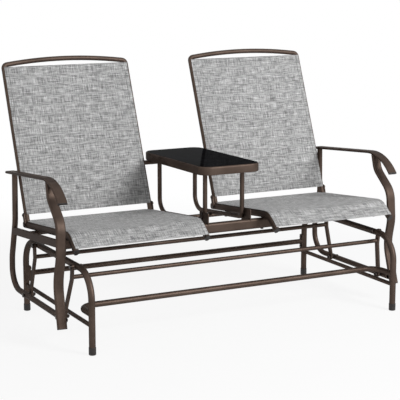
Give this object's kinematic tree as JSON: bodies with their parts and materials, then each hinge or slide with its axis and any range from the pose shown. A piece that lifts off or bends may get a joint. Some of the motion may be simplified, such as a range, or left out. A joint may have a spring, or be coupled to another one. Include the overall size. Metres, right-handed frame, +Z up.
{
  "type": "glider bench",
  "caption": "Outdoor glider bench: two arched sling chairs and a dark glass table on a tube frame that swings fore and aft on hanging links over a standing base.",
  "frame": {"origin": "bottom centre of the bounding box, on the ground", "axes": "+X along the bench to the right seen from the front, +Y to the rear, +Z up"},
  "size_m": [1.4662, 0.8226, 0.9841],
  "materials": {
    "powder_coated_steel": "satin metallic brown powder coat",
    "fastener_steel": "dark zinc plated",
    "cap_plastic": "moulded, fine matt",
    "bush_nylon": "moulded nylon",
    "pad_rubber": "plain rubber",
    "table_glass": "black tinted tempered glass, polished",
    "sling_fabric": "heather grey woven mesh"
  },
  "bodies": {
    "base": {"front_stretcher": "powder_coated_steel", "rear_stretcher": "powder_coated_steel", "stretcher_end_plates": "powder_coated_steel", "stretcher_bolts": "fastener_steel", "foot_caps": "cap_plastic", "upper_pivot_bolts": "fastener_steel", "upper_pivot_nuts": "fastener_steel", "upper_pivot_washers": "fastener_steel", "base_frame_left": "powder_coated_steel", "base_frame_right": "powder_coated_steel", "side_stretcher_left": "powder_coated_steel", "side_stretcher_right": "powder_coated_steel"},
    "front_links": {"front_crossbar": "powder_coated_steel", "front_link_bushes": "bush_nylon", "front_link_left": "powder_coated_steel", "front_link_right": "powder_coated_steel"},
    "rear_links": {"rear_crossbar": "powder_coated_steel", "rear_link_bushes": "bush_nylon", "rear_link_left": "powder_coated_steel", "rear_link_right": "powder_coated_steel"},
    "glider": {"lower_pivot_bolts": "fastener_steel", "lower_pivot_nuts": "fastener_steel", "lower_pivot_washers": "fastener_steel", "front_cross_rail": "powder_coated_steel", "rear_cross_rail": "powder_coated_steel", "seat_bolts": "fastener_steel", "back_brackets": "powder_coated_steel", "back_bolts": "fastener_steel", "arm_studs": "fastener_steel", "arm_spacers": "fastener_steel", "end_caps": "cap_plastic", "table_frame": "powder_coated_steel", "table_glass": "table_glass", "table_pads": "pad_rubber", "table_crossbars": "powder_coated_steel", "table_clips": "powder_coated_steel", "table_bolts": "fastener_steel", "table_rear_bar": "powder_coated_steel", "seat_rail_left_inner": "powder_coated_steel", "seat_rail_left_outer": "powder_coated_steel", "seat_rail_right_inner": "powder_coated_steel", "seat_rail_right_outer": "powder_coated_steel", "side_frame_left": "powder_coated_steel", "side_frame_right": "powder_coated_steel", "armrest_left": "powder_coated_steel", "armrest_right": "powder_coated_steel", "arm_leg_left": "powder_coated_steel", "arm_leg_right": "powder_coated_steel", "arm_rail_left": "powder_coated_steel", "arm_rail_right": "powder_coated_steel", "back_frame_left": "powder_coated_steel", "back_frame_right": "powder_coated_steel", "back_sling_left": "sling_fabric", "back_sling_right": "sling_fabric", "seat_sling_left": "sling_fabric", "seat_sling_right": "sling_fabric", "table_leg_left": "powder_coated_steel", "table_leg_right": "powder_coated_steel"}
  },
  "joints": [
    {"name": "rear_link_swing", "type": "hinge", "parent": "base", "child": "rear_links", "pos_m": [0, 0.11698, 0.2925], "axis": [1, 0, 0], "range_deg": [-16, 16]},
    {"name": "front_link_swing", "type": "hinge", "parent": "base", "child": "front_links", "pos_m": [0, -0.26702, 0.2925], "axis": [1, 0, 0], "range_deg": [-16.2, 16.2]},
    {"name": "glider_tilt", "type": "hinge", "parent": "rear_links", "child": "glider", "pos_m": [0, 0.10748, 0.106], "axis": [1, 0, 0], "range_deg": [-17.98, 17.98]}
  ],
  "couplings": [
    {"joint": "front_link_swing", "follows": "rear_link_swing", "ratio": 1},
    {"joint": "glider_tilt", "follows": "rear_link_swing", "ratio": -1.1048}
  ]
}
